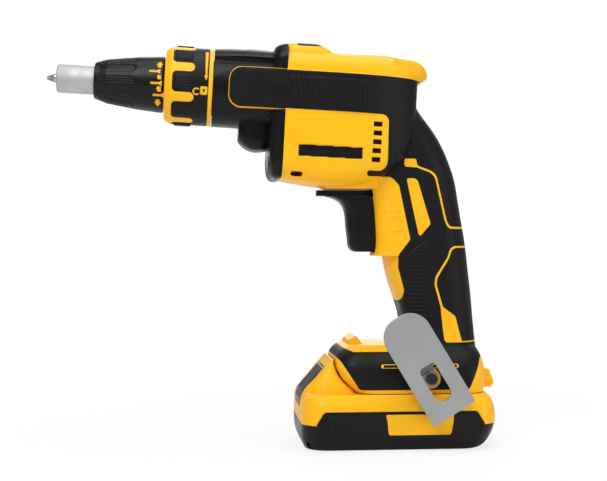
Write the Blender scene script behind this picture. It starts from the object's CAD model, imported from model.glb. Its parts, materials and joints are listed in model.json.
import json
import math

import bpy
import numpy as np
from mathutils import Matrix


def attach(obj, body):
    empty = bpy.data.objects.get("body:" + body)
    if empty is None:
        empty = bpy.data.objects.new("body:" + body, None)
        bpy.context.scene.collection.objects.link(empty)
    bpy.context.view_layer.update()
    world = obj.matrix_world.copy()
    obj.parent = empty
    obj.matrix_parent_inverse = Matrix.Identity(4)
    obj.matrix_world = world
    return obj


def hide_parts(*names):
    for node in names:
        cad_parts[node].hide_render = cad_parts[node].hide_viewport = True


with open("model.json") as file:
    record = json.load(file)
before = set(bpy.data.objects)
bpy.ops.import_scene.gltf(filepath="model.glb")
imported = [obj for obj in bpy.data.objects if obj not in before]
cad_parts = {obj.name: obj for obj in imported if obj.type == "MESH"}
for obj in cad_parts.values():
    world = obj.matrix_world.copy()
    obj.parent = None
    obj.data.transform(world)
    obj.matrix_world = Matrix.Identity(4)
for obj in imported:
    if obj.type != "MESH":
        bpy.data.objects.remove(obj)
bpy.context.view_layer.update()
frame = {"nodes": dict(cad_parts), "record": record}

mm = 0.001  # sizes below are in millimetres, Blender's are in metres
scene = bpy.context.scene
sides = ((-1, "left"), (1, "right"))  # the hook is on the left, at -Y


# camera and studio

photoCamera = {"place": (-111.5, -670.4, 114.6), "tip": 90.0, "turn": 5.0, "lens": 69.98,
               "sensor": 36.0, "clipStart": 0.01}


def placeCamera(spec):
    lens = bpy.data.cameras.new("photoCamera")
    lens.sensor_fit = "HORIZONTAL"
    lens.sensor_width = spec["sensor"]
    lens.lens = spec["lens"]
    lens.clip_start = spec["clipStart"]
    camera = bpy.data.objects.new("photoCamera", lens)
    camera.location = [value * mm for value in spec["place"]]
    camera.rotation_euler = (math.radians(spec["tip"]), 0, math.radians(-spec["turn"]))
    scene.collection.objects.link(camera)
    scene.camera = camera


studio = {
    "floorHalf": 4.0, "floorDrop": 0.4, "floorColor": (0.86, 0.86, 0.86, 1), "whiteShare": 0.80,
    "shadowReach": 0.16, "whiteReach": 0.42, "worldLevel": 0.36, "aim": (-0.03, 0.0, 0.12),
    "lamps": {
        "keyLamp": {"place": (-0.45, -0.80, 1.00), "size": 0.8, "watts": 8.6},
        "fillLamp": {"place": (0.85, -0.80, 0.35), "size": 0.9, "watts": 2.6},
        "topLamp": {"place": (0.05, -0.10, 1.10), "size": 0.9, "watts": 4.6},
        "backLamp": {"place": (0.10, 0.95, 0.55), "size": 0.9, "watts": 4.2},
    },
}


def buildWorld(spec):
    # the camera sees plain white, and other rays meet a dimmer room
    scene.view_settings.view_transform = "Standard"
    world = bpy.data.worlds.new("paleRoom")
    world.use_nodes = True
    scene.world = world
    tree = world.node_tree
    level = tree.nodes.new("ShaderNodeMapRange")
    level.inputs["To Min"].default_value = spec["worldLevel"]
    level.inputs["To Max"].default_value = 1.0
    path = tree.nodes.new("ShaderNodeLightPath")
    tree.links.new(path.outputs["Is Camera Ray"], level.inputs["Value"])
    background = tree.nodes["Background"]
    background.inputs["Color"].default_value = (1, 1, 1, 1)
    tree.links.new(level.outputs["Result"], background.inputs["Strength"])


def buildFloor(spec):
    half = spec["floorHalf"]
    corners = np.array([[-half, -half], [half, -half], [half, half], [-half, half]])
    points = np.column_stack([corners, np.full(4, -spec["floorDrop"] * mm)])
    mesh = bpy.data.meshes.new("paleFloor")
    mesh.from_pydata(points.tolist(), [], [(0, 1, 2, 3)])
    floor = bpy.data.objects.new("paleFloor", mesh)
    scene.collection.objects.link(floor)
    paint = bpy.data.materials.new("paleFloor")
    paint.use_nodes = True
    tree = paint.node_tree
    tree.nodes.remove(tree.nodes["Principled BSDF"])
    matt = tree.nodes.new("ShaderNodeBsdfDiffuse")
    matt.inputs["Color"].default_value = spec["floorColor"]
    white = tree.nodes.new("ShaderNodeEmission")
    # the camera sees the floor go to plain white with distance; other rays meet the matt floor
    place = tree.nodes.new("ShaderNodeTexCoord")
    distance = tree.nodes.new("ShaderNodeVectorMath")
    distance.operation = "LENGTH"
    tree.links.new(place.outputs["Object"], distance.inputs[0])
    fade = tree.nodes.new("ShaderNodeMapRange")
    fade.interpolation_type = "SMOOTHSTEP"
    fade.inputs["From Min"].default_value = spec["shadowReach"]
    fade.inputs["From Max"].default_value = spec["whiteReach"]
    fade.inputs["To Min"].default_value = spec["whiteShare"]
    tree.links.new(distance.outputs["Value"], fade.inputs["Value"])
    path = tree.nodes.new("ShaderNodeLightPath")
    share = tree.nodes.new("ShaderNodeMath")
    share.operation = "MULTIPLY"
    tree.links.new(path.outputs["Is Camera Ray"], share.inputs[0])
    tree.links.new(fade.outputs["Result"], share.inputs[1])
    mix = tree.nodes.new("ShaderNodeMixShader")
    tree.links.new(share.outputs[0], mix.inputs[0])
    tree.links.new(matt.outputs[0], mix.inputs[1])
    tree.links.new(white.outputs[0], mix.inputs[2])
    tree.links.new(mix.outputs[0], tree.nodes["Material Output"].inputs["Surface"])
    mesh.materials.append(paint)


def placeLamps(spec):
    aim = np.array(spec["aim"])
    for name, lamp in spec["lamps"].items():
        light = bpy.data.lights.new(name, "AREA")
        light.shape = "DISK"
        light.size = lamp["size"]
        light.energy = lamp["watts"]
        holder = bpy.data.objects.new(name, light)
        holder.location = lamp["place"]
        away = np.array(lamp["place"]) - aim  # a lamp shines along its own -Z
        flat = math.hypot(away[0], away[1])
        holder.rotation_euler = (math.atan2(flat, away[2]), 0, math.atan2(away[0], -away[1]))
        scene.collection.objects.link(holder)


placeCamera(photoCamera)
buildWorld(studio)
buildFloor(studio)
placeLamps(studio)
print("camera and studio done")


# finishes

finishSpecs = {
    "yellow_plastic": {
        "color": (0.98, 0.485, 0.003), "rough": 0.38, "spread": 0.07, "grain": 2600,
        "height": 0.020, "mottle": 0.05, "edge": 0.5, "worn": (1.0, 0.66, 0.08), "wear": 0.30,
        "scuff": 0.10, "shine": 0.28,
    },
    "black_plastic": {
        "color": (0.0038, 0.0038, 0.0042), "rough": 0.34, "spread": 0.08, "grain": 2400,
        "height": 0.022, "mottle": 0.12, "edge": 0.5, "worn": (0.05, 0.05, 0.052), "wear": 0.35,
        "scuff": 0.14, "shine": 0.22,
    },
    "black_rubber": {
        "color": (0.0045, 0.0045, 0.005), "rough": 0.44, "spread": 0.08, "grain": 1900,
        "height": 0.035, "mottle": 0.14, "edge": 0.6, "worn": (0.05, 0.05, 0.052), "wear": 0.30,
        "scuff": 0.10, "shine": 0.20,
    },
    "blasted_aluminium": {
        "color": (0.50, 0.50, 0.505), "rough": 0.62, "spread": 0.10, "metal": 0.9, "grain": 2600,
        "height": 0.045, "mottle": 0.10, "edge": 0.35, "worn": (0.85, 0.85, 0.85), "wear": 0.5,
        "scuff": 0.18,
    },
    "black_metal": {
        "color": (0.0035, 0.0035, 0.004), "rough": 0.31, "spread": 0.07, "grain": 1700,
        "height": 0.022, "mottle": 0.12, "edge": 0.5, "worn": (0.07, 0.07, 0.07), "wear": 0.35,
        "scuff": 0.12, "shine": 0.19,
    },
    "hardened_steel": {
        "color": (0.42, 0.42, 0.43), "rough": 0.28, "spread": 0.08, "metal": 1.0, "grain": 1500,
        "height": 0.006, "mottle": 0.08, "edge": 0.2, "worn": (0.75, 0.75, 0.75), "wear": 0.4,
        "scuff": 0.2, "brush": (60, 2400, 2400),
    },
    "hook_steel": {
        "color": (0.38, 0.385, 0.39), "rough": 0.46, "spread": 0.06, "metal": 0.75, "grain": 2800,
        "height": 0.010, "mottle": 0.05, "edge": 0.25, "worn": (0.80, 0.80, 0.80), "wear": 0.6,
        "scuff": 0.2, "brush": (2200, 300, 90),
    },
    "black_screw_steel": {
        "color": (0.03, 0.03, 0.032), "rough": 0.34, "spread": 0.08, "metal": 0.6, "grain": 2400,
        "height": 0.010, "mottle": 0.1, "edge": 0.2, "worn": (0.30, 0.30, 0.30), "wear": 0.5,
        "scuff": 0.2,
    },
    "spring_steel": {
        "color": (0.45, 0.45, 0.47), "rough": 0.26, "spread": 0.06, "metal": 1.0, "grain": 2000,
        "height": 0.004, "mottle": 0.06, "edge": 0.1, "worn": (0.7, 0.7, 0.7), "wear": 0.2,
        "scuff": 0.2,
    },
    "sintered_bronze": {
        "color": (0.42, 0.24, 0.07), "rough": 0.45, "spread": 0.1, "metal": 1.0, "grain": 3000,
        "height": 0.02, "mottle": 0.12, "edge": 0.2, "worn": (0.7, 0.45, 0.15), "wear": 0.4,
        "scuff": 0.1,
    },
    "insert_brass": {
        "color": (0.62, 0.40, 0.10), "rough": 0.30, "spread": 0.08, "metal": 1.0, "grain": 1800,
        "height": 0.006, "mottle": 0.08, "edge": 0.2, "worn": (0.85, 0.62, 0.25), "wear": 0.4,
        "scuff": 0.2, "brush": (900, 60, 900),
    },
    "magnet_nickel": {
        "color": (0.60, 0.58, 0.55), "rough": 0.20, "spread": 0.05, "metal": 1.0, "grain": 1500,
        "height": 0.003, "mottle": 0.05, "edge": 0.2, "worn": (0.8, 0.8, 0.8), "wear": 0.2,
        "scuff": 0.2,
    },
    "lamination_steel": {
        "color": (0.16, 0.165, 0.18), "rough": 0.42, "spread": 0.08, "metal": 0.9, "grain": 1500,
        "height": 0.006, "mottle": 0.1, "edge": 0.2, "worn": (0.5, 0.5, 0.5), "wear": 0.3,
        "scuff": 0.1, "layers": {"halfPitch": 0.5, "height": 0.05},
    },
    "copper_winding": {
        "color": (0.52, 0.16, 0.04), "rough": 0.32, "spread": 0.08, "metal": 0.85, "grain": 1500,
        "height": 0.004, "mottle": 0.15, "edge": 0.2, "worn": (0.8, 0.4, 0.2), "wear": 0.2,
        "scuff": 0.1, "layers": {"halfPitch": 0.7, "height": 0.15},
    },
    "circuit_board": {
        "color": (0.010, 0.050, 0.022), "rough": 0.35, "spread": 0.1, "grain": 900, "height": 0.02,
        "mottle": 0.2, "edge": 0.2, "worn": (0.2, 0.3, 0.2), "wear": 0.2, "scuff": 0.1,
    },
    "cell_wrap": {
        "color": (0.03, 0.20, 0.13), "rough": 0.30, "spread": 0.06, "grain": 700, "height": 0.02,
        "mottle": 0.08, "edge": 0.3, "worn": (0.2, 0.4, 0.3), "wear": 0.2, "scuff": 0.1,
    },
    "contact_copper": {
        "color": (0.66, 0.32, 0.12), "rough": 0.30, "spread": 0.08, "metal": 1.0, "grain": 1600,
        "height": 0.004, "mottle": 0.12, "edge": 0.2, "worn": (0.85, 0.6, 0.4), "wear": 0.3,
        "scuff": 0.3,
    },
    "lead_insulation": {
        "color": (0.30, 0.012, 0.010), "rough": 0.40, "spread": 0.06, "grain": 1200,
        "height": 0.01, "mottle": 0.06, "edge": 0.2, "worn": (0.5, 0.05, 0.05), "wear": 0.1,
        "scuff": 0.05,
    },
}

# what every finish shares: noise scales are per metre, and a band is the range of noise that shows
texture = {
    "blotches": {"scale": 38, "detail": 3, "band": (0.3, 0.7)},
    "streaks": {"scale": 1, "detail": 2, "stretch": (140, 900, 420), "band": (0.66, 0.74)},
    "patches": {"scale": 24, "detail": 2, "band": (0.52, 0.66)},
    "chips": {"scale": 300, "detail": 3, "band": (0.35, 0.65)},
    "gloss": {"scale": 170, "detail": 4, "band": (0.3, 0.7)},
    "chipLeast": 0.2, "edgeBand": (0.995, 0.90), "edgeSamples": 6, "grainDetail": 2,
    "waveTurn": 20,  # Blender's wave texture turns by this many radians per unit
}


def shaded(color, share):
    return tuple(min(value * share, 1.0) for value in color) + (1.0,)


def surfaceFinish(name, spec):
    # colour = mottled base, lightened by scuffs and worn edges; roughness = a blotchy band; normal = rounded
    # edges with fine grain on top, and brush lines or stacked layers where the finish has them
    material = bpy.data.materials.new(name)
    material.use_nodes = True
    tree = material.node_tree
    link = tree.links.new
    shader = tree.nodes["Principled BSDF"]
    shader.inputs["Metallic"].default_value = spec.get("metal", 0.0)
    shader.inputs["Specular IOR Level"].default_value = spec.get("shine", 0.5)
    place = tree.nodes.new("ShaderNodeTexCoord").outputs["Object"]

    def noise(scale, detail, stretch=None):
        cloud = tree.nodes.new("ShaderNodeTexNoise")
        cloud.inputs["Detail"].default_value = detail
        cloud.inputs["Scale"].default_value = scale
        if stretch is None:
            link(place, cloud.inputs["Vector"])
        else:
            turn = tree.nodes.new("ShaderNodeMapping")
            turn.inputs["Scale"].default_value = stretch
            link(place, turn.inputs["Vector"])
            link(turn.outputs["Vector"], cloud.inputs["Vector"])
        return cloud.outputs["Fac"]

    def spread(value, low, high, toLow, toHigh):
        band = tree.nodes.new("ShaderNodeMapRange")
        band.inputs["From Min"].default_value = low
        band.inputs["From Max"].default_value = high
        band.inputs["To Min"].default_value = toLow
        band.inputs["To Max"].default_value = toHigh
        link(value, band.inputs["Value"])
        return band.outputs["Result"]

    def shared(part, toLow, toHigh):
        # one of the shared noises, its band spread over the given range
        part = texture[part]
        return spread(noise(part["scale"], part["detail"], part.get("stretch")), *part["band"], toLow, toHigh)

    def blended(share, first, second):
        mix = tree.nodes.new("ShaderNodeMix")
        mix.data_type = "RGBA"
        link(share, mix.inputs[0])
        for socket, value in ((mix.inputs[6], first), (mix.inputs[7], second)):
            if isinstance(value, tuple):
                socket.default_value = value
            else:
                link(value, socket)
        return mix.outputs[2]

    def product(first, second):
        times = tree.nodes.new("ShaderNodeMath")
        times.operation = "MULTIPLY"
        link(first, times.inputs[0])
        link(second, times.inputs[1])
        return times.outputs[0]

    dark = shaded(spec["color"], 1 - spec["mottle"])
    light = shaded(spec["color"], 1 + spec["mottle"])
    worn = shaded(spec["worn"], 1)
    base = blended(shared("blotches", 0, 1), dark, light)

    # fine scuffs: long thin streaks kept to a few patches
    scuffs = product(shared("streaks", 0, spec["scuff"]), shared("patches", 0, 1))

    # worn edges: where the rounded normal leaves the true one, broken up by noise
    rounded = tree.nodes.new("ShaderNodeBevel")
    rounded.samples = texture["edgeSamples"]
    rounded.inputs["Radius"].default_value = spec["edge"] * mm
    geometry = tree.nodes.new("ShaderNodeNewGeometry")
    facing = tree.nodes.new("ShaderNodeVectorMath")
    facing.operation = "DOT_PRODUCT"
    link(rounded.outputs["Normal"], facing.inputs[0])
    link(geometry.outputs["Normal"], facing.inputs[1])
    edges = spread(facing.outputs["Value"], *texture["edgeBand"], 0, spec["wear"])
    edges = product(edges, shared("chips", texture["chipLeast"], 1))
    color = blended(edges, blended(scuffs, base, worn), worn)
    link(color, shader.inputs["Base Color"])

    rough = shared("gloss", spec["rough"] - spec["spread"], spec["rough"] + spec["spread"])
    link(rough, shader.inputs["Roughness"])

    normal = rounded.outputs["Normal"]
    grains = [(noise(spec["grain"], texture["grainDetail"]), spec["height"])]
    if "brush" in spec:
        grains.append((noise(1, texture["grainDetail"], spec["brush"]), spec["height"]))
    if "layers" in spec:
        waves = tree.nodes.new("ShaderNodeTexWave")
        halfPitch = spec["layers"]["halfPitch"] * mm
        waves.inputs["Scale"].default_value = math.pi / (halfPitch * texture["waveTurn"])
        link(place, waves.inputs["Vector"])
        grains.append((waves.outputs["Fac"], spec["layers"]["height"]))
    for grain, height in grains:
        bump = tree.nodes.new("ShaderNodeBump")
        bump.inputs["Distance"].default_value = height * mm
        link(grain, bump.inputs["Height"])
        link(normal, bump.inputs["Normal"])
        normal = bump.outputs["Normal"]
    link(normal, shader.inputs["Normal"])
    return material


finishes = {name: surfaceFinish(name, spec) for name, spec in finishSpecs.items()}
print("finishes:", len(finishes))


# CAD nodes: welded, shaded smooth up to a crease angle, and given their finishes

cadShading = {"weld": 0.002, "crease": 27.0}


def softShading(spec):
    group = bpy.data.node_groups.new("softShading", "GeometryNodeTree")
    group.interface.new_socket("Geometry", in_out="INPUT", socket_type="NodeSocketGeometry")
    group.interface.new_socket("Geometry", in_out="OUTPUT", socket_type="NodeSocketGeometry")
    start = group.nodes.new("NodeGroupInput")
    end = group.nodes.new("NodeGroupOutput")
    weld = group.nodes.new("GeometryNodeMergeByDistance")
    weld.inputs["Distance"].default_value = spec["weld"] * mm
    smooth = group.nodes.new("GeometryNodeSetShadeSmooth")
    angle = group.nodes.new("GeometryNodeInputMeshEdgeAngle")
    sharp = group.nodes.new("FunctionNodeCompare")
    sharp.operation = "GREATER_THAN"
    sharp.inputs["B"].default_value = math.radians(spec["crease"])
    crease = group.nodes.new("GeometryNodeSetShadeSmooth")
    crease.domain = "EDGE"
    crease.inputs["Shade Smooth"].default_value = False
    link = group.links.new
    link(start.outputs[0], weld.inputs["Geometry"])
    link(weld.outputs["Geometry"], smooth.inputs["Geometry"])
    link(smooth.outputs["Geometry"], crease.inputs["Geometry"])
    link(angle.outputs["Unsigned Angle"], sharp.inputs["A"])
    link(sharp.outputs["Result"], crease.inputs["Selection"])
    link(crease.outputs["Geometry"], end.inputs[0])
    return group


shading = softShading(cadShading)
for subpart in frame["record"]["subparts"]:
    node = frame["nodes"][subpart["node"]]
    for slot in node.material_slots:
        slot.material = finishes[subpart["material_slot"]]
    soft = node.modifiers.new("softShading", "NODES")
    soft.node_group = shading
    even = node.modifiers.new("evenNormals", "WEIGHTED_NORMAL")
    even.keep_sharp = True
print("CAD nodes dressed")


# surfaces worked out as arrays

barrel = {"reach": 104.3, "height": 200.9, "tilt": 3.0}
sheetWall = 0.5  # how deep the added sheets go behind their shown face
fieldMargin = 1.0  # how far a grid goes past its outline
evenCut = 0.25  # share cut off both ends of an edge when an outline is rounded
grooveFloor = 0.4  # share of a groove's half width that is flat
tiny = 1e-9  # keeps a division away from 0
slack = 1e-6  # lets a point on a triangle's edge count as inside it
batchSize = 3000000  # point and triangle pairs weighed at once


def toBarrel(along, across, up):
    # barrel frame to row frame: tipped nose-up by the tilt, then moved to the gear case's front centre
    tilt = math.radians(barrel["tilt"])
    x = -barrel["reach"] + along * math.cos(tilt) + up * math.sin(tilt)
    z = barrel["height"] - along * math.sin(tilt) + up * math.cos(tilt)
    return np.stack(np.broadcast_arrays(x, across, z), axis=-1)


def ease(low, high, value):
    # 0 below low, 1 above high, an S-curve between
    share = np.clip((value - low) / (high - low), 0, 1)
    return share * share * (3 - 2 * share)


def gridFaces(rows, columns, wrapRows=False, wrapColumns=False):
    # quad i,j joins grid points (i,j), (i+1,j), (i+1,j+1), (i,j+1); a wrapped way joins its last to its first
    i = np.arange(rows if wrapRows else rows - 1)
    j = np.arange(columns if wrapColumns else columns - 1)
    i, j = np.meshgrid(i, j, indexing="ij")
    nextI = (i + 1) % rows
    nextJ = (j + 1) % columns
    quads = [i * columns + j, nextI * columns + j, nextI * columns + nextJ, i * columns + nextJ]
    return np.stack(quads, axis=-1).reshape(-1, 4)


def buildPiece(name, points, faces, body, slotName, crease=38.0):
    mesh = bpy.data.meshes.new(name)
    mesh.from_pydata((points.reshape(-1, 3) * mm).tolist(), [], faces.tolist())
    mesh.shade_smooth()
    mesh.set_sharp_from_angle(angle=math.radians(crease))
    mesh.materials.append(finishes[slotName])
    piece = bpy.data.objects.new(name, mesh)
    scene.collection.objects.link(piece)
    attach(piece, body)
    return piece


def addWall(piece, thickness):
    # turns a sheet into a solid, by a wall behind its shown face
    wall = piece.modifiers.new("wall", "SOLIDIFY")
    wall.thickness = thickness * mm
    wall.offset = -1


def cadTriangles(nodes):
    # corner points of the named nodes' triangles, as one array of shape (triangles, 3, 3)
    found = []
    for name in nodes:
        mesh = frame["nodes"][name].data
        mesh.calc_loop_triangles()
        places = np.empty(len(mesh.vertices) * 3)
        mesh.vertices.foreach_get("co", places)
        corners = np.empty(len(mesh.loop_triangles) * 3, np.int32)
        mesh.loop_triangles.foreach_get("vertices", corners)
        found.append(places.reshape(-1, 3)[corners.reshape(-1, 3)] / mm)
    return np.concatenate(found)


def outermost(nodes, x, z, side):
    # how far out to one side the nodes reach at each x,z: every point is weighed into every triangle's shadow
    # on the x,z plane, and the furthest triangle that holds it gives the depth
    corners = cadTriangles(nodes)
    low = corners.min(axis=1)
    high = corners.max(axis=1)
    near = (high[:, 0] >= x.min()) & (low[:, 0] <= x.max())
    near &= (high[:, 2] >= z.min()) & (low[:, 2] <= z.max())
    corners = corners[near & (side * (low + high)[:, 1] > 0)]
    first = corners[:, 0]
    toSecond = corners[:, 1] - first
    toThird = corners[:, 2] - first
    area = toSecond[:, 0] * toThird[:, 2] - toThird[:, 0] * toSecond[:, 2]
    usable = np.abs(area) > tiny
    first, toSecond, toThird, area = first[usable], toSecond[usable], toThird[usable], area[usable]
    depth = np.full(x.size, -np.inf)
    batches = max(1, x.size * len(area) // batchSize)
    for batch in np.array_split(np.arange(x.size), batches):
        right = x.ravel()[batch, None] - first[:, 0]
        above = z.ravel()[batch, None] - first[:, 2]
        second = (right * toThird[:, 2] - toThird[:, 0] * above) / area
        third = (toSecond[:, 0] * above - right * toSecond[:, 2]) / area
        inside = (second >= -slack) & (third >= -slack) & (second + third <= 1 + slack)
        reach = side * (first[:, 1] + second * toSecond[:, 1] + third * toThird[:, 1])
        depth[batch] = np.where(inside, reach, -np.inf).max(axis=1, initial=-np.inf)
    return depth.reshape(x.shape)


def softened(corners, cut, rounds=3):
    # corner cutting: each edge keeps its middle, and repeating that rounds the outline
    outline = np.array(corners, float)
    for step in range(rounds):
        after = np.roll(outline, -1, axis=0)
        run = (after - outline) * (cut if step == 0 else evenCut)
        outline = np.stack([outline + run, after - run], axis=1).reshape(-1, 2)
    return outline


def gapTo(x, z, start, run):
    # distance of each point from the nearest of some straight runs
    away = np.stack([x, z], axis=-1)[..., None, :] - start
    share = np.clip((away * run).sum(-1) / (run * run).sum(-1), 0, 1)
    return np.linalg.norm(away - share[..., None] * run, axis=-1).min(-1)


def inward(x, z, outline):
    # distance of each point inside a closed outline, negative outside it
    run = np.roll(outline, -1, axis=0) - outline
    gap = gapTo(x, z, outline, run)
    level = z[..., None]
    spans = (outline[:, 1] > level) != (outline[:, 1] + run[:, 1] > level)
    slope = np.where(run[:, 1] == 0, tiny, run[:, 1])
    left = x[..., None] < outline[:, 0] + run[:, 0] * (level - outline[:, 1]) / slope
    return np.where((spans & left).sum(-1) % 2 == 1, gap, -gap)


def fieldGrid(outline, steps, margin):
    low = outline.min(axis=0) - margin
    high = outline.max(axis=0) + margin
    counts = ((high - low) / steps).astype(int) + 2
    x = np.linspace(low[0], high[0], counts[0])
    z = np.linspace(low[1], high[1], counts[1])
    return np.meshgrid(x, z, indexing="ij")


def fieldOf(spec):
    # the grid over a rounded outline, and how far inside it each grid point lies
    outline = softened(spec["corners"], spec["cut"])
    x, z = fieldGrid(outline, spec["steps"], spec.get("margin", fieldMargin))
    return x, z, inward(x, z, outline)


def dressing(name, nodes, side, x, z, height, shown, body, slotName, limit=np.inf):
    # a sheet over the CAD surface: its depth at each x,z plus a height, up to a limit, with a wall behind it
    depth = outermost(nodes, x, z, side)
    held = np.isfinite(depth)
    height = np.minimum(height, limit - depth)
    points = np.stack([x, side * (np.where(held, depth, 0) + height), z], axis=-1).reshape(-1, 3)
    faces = gridFaces(*x.shape)
    kept = held.ravel()[faces].all(axis=1) & shown.ravel()[faces].any(axis=1)
    used, faces = np.unique(faces[kept], return_inverse=True)
    faces = faces.reshape(-1, 4)
    if side > 0:
        faces = faces[:, ::-1]
    addWall(buildPiece(name, points[used], faces, body, slotName), sheetWall)


def addField(spec, side, word, x, z, inside, full):
    # a raised field: the full height inside its outline, sunk below the CAD surface at its rim
    lift = ease(*spec["rim"], inside) * full
    dressing(f"{spec['piece']}_{word}", [f"{spec['node']}_{word}"], side, x, z, lift - spec["bury"],
             inside > -spec["edge"], spec["body"], spec["finish"])


def toNearest(place, pitch):
    # distance from the nearest multiple of the pitch
    return np.abs((place / pitch + 0.5) % 1 - 0.5) * pitch


def ribs(place, pitch, grooveHalf):
    # 1 on the bars, 0 at the middle of the grooves between them, which repeat at the pitch
    return ease(grooveHalf * grooveFloor, grooveHalf, toNearest(place, pitch))


# band ribs: upright bars along the rubber band

bandRibs = {"piece": "bandRibs", "node": "grip_rubber", "body": "tool", "finish": "black_rubber",
            "corners": [(-62.6, 205.1), (-15.7, 202.4), (-19.0, 188.6), (-61.5, 190.3)], "cut": 0.06,
            "steps": (0.24, 0.9), "rim": (-0.5, 0.7), "edge": 0.6, "pitch": 2.95, "groove": 0.62,
            "slant": 0.06, "height": 0.34, "bury": 0.15}


def addBandRibs(spec, side, word):
    x, z, inside = fieldOf(spec)
    bars = ribs(x + spec["slant"] * z, spec["pitch"], spec["groove"])
    addField(spec, side, word, x, z, inside, spec["bury"] + spec["height"] * bars)


# grip: a ribbed hourglass on the rubber, and fine ribs on the yellow beside the trigger

hourglass = {"piece": "gripHourglass", "node": "grip_rubber", "body": "tool", "finish": "black_rubber",
             "corners": [(15.5, 114.9), (18.3, 111.5), (19.2, 103.7), (14.3, 94.1), (13.8, 89.7),
                         (16.4, 76.0), (17.4, 70.0), (-1.6, 72.0), (-2.0, 75.0), (0.9, 78.5), (5.4, 88.6),
                         (5.4, 93.6), (2.2, 105.9)],
             "cut": evenCut, "steps": (0.45, 0.22), "rim": (-0.4, 0.1), "edge": 0.5, "pitch": 2.25,
             "groove": 0.55, "slant": 0.03, "barRim": (0.9, 1.4), "ridgeMiddle": 0.45,
             "ridgeEdge": (0.35, 0.75), "height": 0.30, "bury": 0.15}
fingerRibs = {"piece": "fingerRibs", "node": "housing", "body": "tool", "finish": "yellow_plastic",
              "corners": [(-10.9, 141.9), (-1.6, 141.9), (3.6, 116.8), (-5.6, 116.8)], "cut": 0.08,
              "steps": (0.6, 0.13), "rim": (-0.5, 0.5), "edge": 0.6, "pitch": 1.3, "groove": 0.42,
              "height": 0.22, "bury": 0.15}


def addHourglass(spec, side, word):
    # bars inside a raised ridge that follows the outline
    x, z, inside = fieldOf(spec)
    bars = ribs(z + spec["slant"] * x, spec["pitch"], spec["groove"]) * ease(*spec["barRim"], inside)
    ridge = 1 - ease(*spec["ridgeEdge"], np.abs(inside - spec["ridgeMiddle"]))
    addField(spec, side, word, x, z, inside, spec["bury"] + spec["height"] * np.maximum(bars, ridge))


def addFingerRibs(spec, side, word):
    x, z, inside = fieldOf(spec)
    bars = ribs(z, spec["pitch"], spec["groove"])
    addField(spec, side, word, x, z, inside, spec["bury"] + spec["height"] * bars)


# plain raised fields: on the motor panel, and a bare yellow plate on the pack's black label

panelField = {"piece": "panelField", "node": "housing", "body": "tool", "finish": "yellow_plastic",
              "corners": [(-60.6, 183.6), (-19.6, 182.2), (-20.4, 157.2), (-60.9, 159.0)], "cut": 0.05,
              "steps": (0.5, 0.5), "rim": (-0.4, 0.5), "edge": 0.6, "height": 0.35, "bury": 0.2}
packPlate = {"piece": "packPlate", "node": "battery_label", "body": "battery", "finish": "yellow_plastic",
             "corners": [(-11.2, 20.0), (-10.2, 16.5), (-9.6, 8.7), (24.8, 8.8), (25.7, 13.6), (26.6, 20.0)],
             "cut": 0.04, "steps": (0.3, 0.3), "rim": (-0.2, 0.15), "edge": 0.3, "height": 0.22, "bury": 0.2}


def addPlainField(spec, side, word):
    x, z, inside = fieldOf(spec)
    addField(spec, side, word, x, z, inside, spec["bury"] + spec["height"])


# battery side: grip bars on the label, and a low moulded swelling round it

packRibs = {"piece": "packRibs", "node": "battery_label", "body": "battery", "finish": "black_plastic",
            "corners": [(-45.4, 19.0), (-28.6, 19.4), (-28.6, 6.6), (-45.4, 6.8)], "cut": 0.10,
            "steps": (0.16, 0.5), "rim": (0.2, 1.3), "edge": 0.6, "pitch": 3.2, "barHalf": 1.0,
            "barTop": 0.7, "height": 0.42, "bury": 0.2}
packSteps = {"corners": [(-53.2, 14.5), (-51.2, 18.5), (-47.6, 23.6), (-42.5, 25.6), (37.0, 25.8),
                         (43.0, 23.6), (46.6, 18.0), (47.2, 14.5)],
             "label": [(-49.6, 14.0), (-44.6, 21.8), (39.4, 21.8), (44.2, 14.0)],
             "cut": 0.12, "steps": (0.6, 0.3), "margin": 3.4, "low": 14.5, "height": 0.5, "fade": 3.4,
             "buryFrom": 0.7, "bury": 0.12, "reach": 36.9}


def addPackRibs(spec, side, word):
    x, z, inside = fieldOf(spec)
    bars = 1 - ease(spec["barHalf"] * spec["barTop"], spec["barHalf"], toNearest(x, spec["pitch"]))
    addField(spec, side, word, x, z, inside, (spec["bury"] + spec["height"]) * bars)


def addPackSteps(spec, side, word):
    # full height inside the outline, sunk a short way outside it, and never past the pack's own half width
    x, z, inside = fieldOf(spec)
    lift = spec["height"] * (1 - ease(0, spec["fade"], -inside))
    lift -= spec["bury"] * ease(spec["buryFrom"], 1, -inside / spec["fade"])
    beside = inward(x, z, np.array(spec["label"])) < 0
    shown = (inside > -spec["fade"]) & beside & (z > spec["low"])
    dressing(f"packSteps_{word}", ["battery_case_upper"], side, x, z, lift, shown, "battery",
             "yellow_plastic", spec["reach"])


# flat black patches: slots in the foot's yellow ones, and the top pad's edge, which turns down over the
# hump's side

footSlot = {"piece": "footSlot", "otherNodes": [],
            "corners": [(-11.6, 46.4), (29.0, 46.4), (29.0, 45.0), (-11.6, 45.0)], "cut": 0.02,
            "steps": (0.6, 0.2), "margin": 0.0, "edge": 1.0, "height": 0.06}
topLip = {"piece": "topLip", "otherNodes": ["top_pad"],
          "corners": [(-58.0, 225.6), (-45.2, 225.0), (-44.6, 222.0), (-57.6, 222.5)], "cut": 0.06,
          "steps": (0.3, 0.12), "margin": 0.0, "edge": 0.0, "height": 0.1}


def addPatch(spec, side, word):
    x, z, inside = fieldOf(spec)
    dressing(f"{spec['piece']}_{word}", [f"housing_{word}"] + spec["otherNodes"], side, x, z, spec["height"],
             inside > -spec["edge"], "tool", "black_rubber")


# black ribbons: the groove along the upper back pad's top and front, and the rubber's lip round the band's
# nose end, which leaves a hairline of yellow

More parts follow.
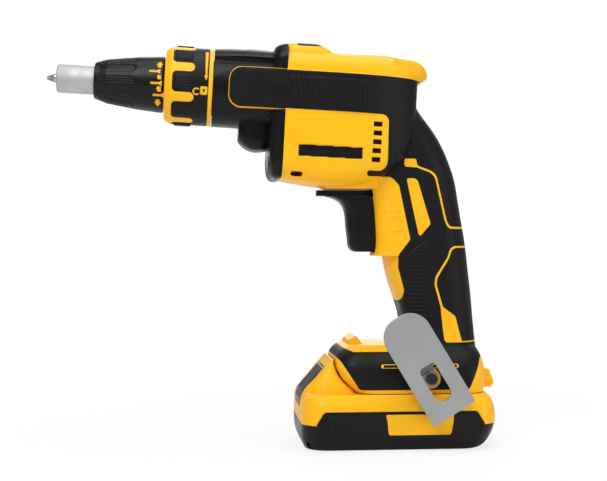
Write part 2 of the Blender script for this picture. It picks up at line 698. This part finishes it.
padGroove = {"line": [(34.0, 182.6), (2.0, 182.1), (-0.6, 181.2), (-1.0, 178.0), (-2.35, 157.2),
                      (1.7, 156.4)],
             "half": 0.9, "steps": (0.3, 0.3), "margin": 1.2, "height": 0.04}
bandLip = {"front": 8.4, "rear": 39.6, "low": -12.6, "high": 9.9, "corner": 7.2, "inset": 0.66, "half": 0.30,
           "height": 0.05, "cornerPoints": 12, "finePoints": 8, "columns": 4}


def addPadGroove(spec, side, word):
    # all points within half a width of the line
    line = np.array(spec["line"])
    x, z = fieldGrid(line, spec["steps"], spec["margin"])
    shown = gapTo(x, z, line[:-1], np.diff(line, axis=0)) < spec["half"]
    nodes = [f"housing_{word}", f"grip_rubber_{word}", f"back_pad_upper_{word}"]
    dressing(f"padGroove_{word}", nodes, side, x, z, spec["height"], shown, "tool", "black_rubber")


def addBandLip(spec, side, word):
    # points run round the lip itself: along the top, round two corners, and back along the bottom
    radius = spec["corner"] - spec["inset"]
    turn = np.radians(np.linspace(90, 180, spec["cornerPoints"]))
    upper = np.column_stack([spec["front"] + spec["corner"] + radius * np.cos(turn),
                             spec["high"] - spec["corner"] + radius * np.sin(turn)])
    lower = np.column_stack([upper[::-1, 0], spec["high"] + spec["low"] - upper[::-1, 1]])
    ends = np.array([[spec["rear"], upper[0, 1]], [spec["rear"], lower[-1, 1]]])
    path = np.concatenate([ends[:1], upper, lower, ends[1:]])
    fine = np.linspace(0, 1, spec["finePoints"])[None, :, None]
    path = (path[:-1, None] * (1 - fine) + path[1:, None] * fine).reshape(-1, 2)
    placed = toBarrel(path[:, 0], 0.0, path[:, 1])
    distance = np.concatenate([[0], np.cumsum(np.linalg.norm(np.diff(path, axis=0), axis=1))])
    distance += np.arange(len(path)) * slack  # repeated points come apart
    run = np.gradient(placed[:, [0, 2]], distance, axis=0)
    run = run / np.linalg.norm(run, axis=1, keepdims=True)
    across = np.linspace(-spec["half"], spec["half"], spec["columns"])
    x = placed[:, 0, None] - run[:, 1, None] * across
    z = placed[:, 2, None] + run[:, 0, None] * across
    dressing(f"bandLip_{word}", [f"housing_{word}", f"grip_rubber_{word}"], side, x, z, spec["height"],
             np.ones(x.shape, bool), "tool", "black_rubber")


# vents: a black liner behind the slots

ventLiner = {"left": -21.0, "right": -7.0, "low": 156.0, "high": 184.0, "behind": 3.2, "beside": -22.0,
             "columns": 8, "rows": 24}


def addVentLiner(spec, side, word):
    # flat along x, and following the panel's own curve in z a little way behind its face
    x = np.linspace(spec["left"], spec["right"], spec["columns"])
    z = np.linspace(spec["low"], spec["high"], spec["rows"])
    x, z = np.meshgrid(x, z, indexing="ij")
    face = outermost([f"housing_{word}"], np.full(z.shape, spec["beside"]), z, side)
    points = np.stack([x, side * (face - spec["behind"]), z], axis=-1)
    faces = gridFaces(*x.shape)
    if side > 0:
        faces = faces[:, ::-1]
    addWall(buildPiece(f"ventLiner_{word}", points, faces, "tool", "black_rubber"), sheetWall)


# depth cone: a turned shell with U-shaped flutes and groups of fine grooves

depthCone = {
    "outside": [(-66.2, 9.6), (-65.9, 10.1), (-65.2, 10.45), (-59.2, 12.4), (-50.5, 13.6), (-42.2, 14.7),
                (-34.0, 15.35), (-28.2, 15.8), (-27.6, 15.4)],
    "inside": [(-27.6, 11.0), (-58.0, 11.0), (-59.5, 8.3), (-66.2, 8.3)],
    "repeats": 6, "fluteHalf": 2.9, "fluteFloor": 2.1, "fluteFront": -68.0, "fluteRear": -45.6,
    "fluteDepth": 0.75, "fluteStart": (-66.0, -63.0), "grooveGap": 1.5, "grooveHalf": 0.45,
    "grooveFloor": 0.225, "grooveStart": (-64.0, -63.0), "grooveEnd": (-44.5, -43.5), "grooveDepth": 0.4,
    "around": 360, "along": 150,
}


def addDepthCone(spec):
    # radius = the profile, less a round-ended flute in each repeat, less three grooves between flutes
    front = np.array(spec["outside"])
    back = np.array(spec["inside"])
    along = np.linspace(front[0, 0], front[-1, 0], spec["along"])
    radius = np.interp(along, front[:, 0], front[:, 1])
    turn = np.arange(spec["around"]) / spec["around"] * 2 * math.pi
    share = (turn * spec["repeats"] / (2 * math.pi)) % 1 - 0.5
    arc = share[None, :] * 2 * math.pi / spec["repeats"] * radius[:, None]
    half = math.pi / spec["repeats"] * radius[:, None]
    ends = np.clip(along, spec["fluteFront"], spec["fluteRear"])[:, None]
    reach = np.hypot(arc, along[:, None] - ends)
    flute = 1 - ease(spec["fluteFloor"], spec["fluteHalf"], reach)
    flute = flute * ease(*spec["fluteStart"], along)[:, None]
    beside = half - np.abs(arc)
    gap = np.minimum(beside, np.abs(beside - spec["grooveGap"]))
    within = ease(*spec["grooveStart"], along) * (1 - ease(*spec["grooveEnd"], along))
    groove = (1 - ease(spec["grooveFloor"], spec["grooveHalf"], gap)) * within[:, None]
    outer = radius[:, None] - spec["fluteDepth"] * flute - spec["grooveDepth"] * groove
    inner = np.repeat(back[:, 1][:, None], spec["around"], axis=1)
    radii = np.concatenate([outer, inner])
    places = np.concatenate([along, back[:, 0]])[:, None]
    points = toBarrel(places, radii * np.cos(turn), radii * np.sin(turn))
    faces = gridFaces(*radii.shape, wrapRows=True, wrapColumns=True)
    piece = buildPiece("depthCone", points, faces, "cone", "black_plastic")
    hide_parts("depth_cone")


# lock collar: fine lengthwise bars in the black bays

collarRibs = {"radius": 21.7, "bays": 8, "front": -21.3, "rear": -11.6, "half": 4.0, "rim": (0.1, 0.9),
              "pitch": 1.5, "groove": 0.5, "height": 0.28, "bury": 0.2, "rows": 60, "columns": 70}


def addCollarRibs(spec):
    # radius = the sleeve's, lifted on bars that run along the barrel and fade out at the patch's rim
    along = np.linspace(spec["front"], spec["rear"], spec["rows"])[None, :, None]
    arc = np.linspace(-spec["half"], spec["half"], spec["columns"])[None, None, :]
    bays = np.arange(spec["bays"])[:, None, None]
    inside = np.minimum(np.minimum(along - spec["front"], spec["rear"] - along), spec["half"] - np.abs(arc))
    bars = ribs(arc, spec["pitch"], spec["groove"])
    lift = ease(*spec["rim"], inside) * (spec["bury"] + spec["height"] * bars)
    radius = spec["radius"] - spec["bury"] + lift
    turn = bays * 2 * math.pi / spec["bays"] + arc / spec["radius"]
    points = toBarrel(along, radius * np.cos(turn), radius * np.sin(turn))
    faces = gridFaces(spec["rows"], spec["columns"])[None] + bays * spec["rows"] * spec["columns"]
    addWall(buildPiece("collarRibs", points, faces.reshape(-1, 4), "collar", "black_rubber"), sheetWall)


# printed marks: thin strips, each ruled between two lines of (along, arc) points and wrapped on the barrel

marks = {
    "lift": 0.05, "keyHoleLift": 0.10, "wall": 0.12, "step": 0.25, "columns": 7, "curvePoints": 60,
    "collarEnds": (-30.0, 0.0), "arrowMiddle": -29.9, "downMiddle": -30.2, "downArc": -2.6,
    "arrow": [(13.0, -0.05, 0.05), (9.9, -2.1, 2.1), (9.85, -1.2, 1.2), (8.0, -1.2, 1.2)],
    "steps": [[(3.4, -30.9, -28.7), (2.4, -31.2, -28.7), (0.9, -30.7, -28.6)],
              [(-2.9, -30.9, -28.6), (-4.4, -31.3, -28.5), (-5.9, -30.5, -28.4)]],
    "screws": [(-36.0, 5.6), (-34.9, -1.2), (-33.4, -7.9)], "screwLength": 6.6, "screwHalf": 0.62,
    "screwTip": (-0.3, 1.0), "headHalf": 1.65, "headLength": 2.0, "threadPitch": 1.05, "threadDepth": 0.35,
    "turnArrow": [(21.6, -5.2, -3.2), (3.9, -4.65, -3.5), (3.85, -5.4, -2.95), (1.3, -4.1, -4.0)],
    "lockBody": [(-2.2, -6.6, -3.5), (-2.7, -7.2, -2.95), (-6.2, -7.2, -2.9), (-6.8, -6.6, -3.4)],
    "shackle": {"middle": (-9.1, -5.1), "outer": 2.1, "inner": 1.25, "from": -42, "to": -320},
    "keyHole": [(-3.5, -5.25, -4.95), (-3.8, -5.6, -4.6), (-4.4, -5.75, -4.45), (-4.9, -5.4, -4.8),
                (-5.5, -5.35, -4.85)],
}


def rowMark(spec, rows):
    # rows of (arc, low, high), low and high lying along the barrel, filled in at the step
    arcs, low, high = np.array(rows, float).T
    distance = np.concatenate([[0], np.cumsum(np.hypot(np.diff(arcs), np.diff(low)))])
    even = np.linspace(0, distance[-1], int(distance[-1] / spec["step"]) + 2)
    fine = np.union1d(distance, even)
    arc = np.interp(fine, distance, arcs)
    first = np.column_stack([np.interp(fine, distance, low), arc])
    second = np.column_stack([np.interp(fine, distance, high), arc])
    return first, second


def screwMark(spec, start):
    # a screw lying along the barrel: a pointed, wavy-edged shank that flares to a flat head
    along = np.linspace(0, spec["screwLength"], spec["curvePoints"])
    shank = spec["screwLength"] - spec["headLength"]
    flare = ease(shank, spec["screwLength"], along)
    half = spec["screwHalf"] * ease(*spec["screwTip"], along) + (spec["headHalf"] - spec["screwHalf"]) * flare
    wave = spec["threadDepth"] * np.cos(along / spec["threadPitch"] * 2 * math.pi)
    wave = np.where(along < shank, wave, 0)
    first = np.column_stack([start[0] + along, start[1] + half + wave])
    second = np.column_stack([start[0] + along, start[1] - half + wave])
    return first, second


def arcMark(spec, ring):
    turn = np.radians(np.linspace(ring["from"], ring["to"], spec["curvePoints"]))
    circle = np.column_stack([np.cos(turn), np.sin(turn)])
    middle = np.array(ring["middle"])
    return middle + ring["outer"] * circle, middle + ring["inner"] * circle


def addMarks(spec, name, strips, profile, body, slotName, lift):
    # grid point = the share across between a strip's two lines, at the angle arc / radius on the -Y side
    allPoints, allFaces, start = [], [], 0
    share = np.linspace(0, 1, spec["columns"])[None, :, None]
    for first, second in strips:
        flat = first[:, None, :] * (1 - share) + second[:, None, :] * share
        along, arc = flat[..., 0], flat[..., 1]
        radius = np.interp(along, profile[:, 0], profile[:, 1]) + lift
        points = toBarrel(along, -radius * np.cos(arc / radius), radius * np.sin(arc / radius))
        faces = gridFaces(*along.shape)
        normal = np.cross(points[1, 0] - points[0, 0], points[0, -1] - points[0, 0])
        if normal[1] > 0:
            faces = faces[:, ::-1]
        allPoints.append(points.reshape(-1, 3))
        allFaces.append(faces + start)
        start += along.size
    piece = buildPiece(name, np.concatenate(allPoints), np.concatenate(allFaces), body, slotName)
    addWall(piece, spec["wall"])


def addAllMarks(spec):
    coneLine = np.array(depthCone["outside"])
    collarLine = np.array([(along, collarRibs["radius"]) for along in spec["collarEnds"]])
    up, down = spec["arrowMiddle"], spec["downMiddle"]
    arrows = [[(arc, up + low, up + high) for arc, low, high in spec["arrow"]],
              [(spec["downArc"] - arc, down + low, down + high) for arc, low, high in spec["arrow"]]]
    strips = [rowMark(spec, rows) for rows in arrows + spec["steps"]]
    strips += [screwMark(spec, start) for start in spec["screws"]]
    addMarks(spec, "coneMarks", strips, coneLine, "cone", "yellow_plastic", spec["lift"])
    strips = [rowMark(spec, spec["turnArrow"]), rowMark(spec, spec["lockBody"])]
    strips += [arcMark(spec, spec["shackle"])]
    addMarks(spec, "collarMarks", strips, collarLine, "collar", "yellow_plastic", spec["lift"])
    strips = [rowMark(spec, spec["keyHole"])]
    addMarks(spec, "lockKeyHole", strips, collarLine, "collar", "black_rubber", spec["keyHoleLift"])


for side, word in sides:
    addBandRibs(bandRibs, side, word)
    addHourglass(hourglass, side, word)
    addFingerRibs(fingerRibs, side, word)
    addPlainField(panelField, side, word)
    addPackRibs(packRibs, side, word)
    addPlainField(packPlate, side, word)
    addPackSteps(packSteps, side, word)
    addPatch(footSlot, side, word)
    addPadGroove(padGroove, side, word)
    addBandLip(bandLip, side, word)
    addVentLiner(ventLiner, side, word)
    addPatch(topLip, side, word)
addDepthCone(depthCone)
addCollarRibs(collarRibs)
addAllMarks(marks)
print("pieces added")
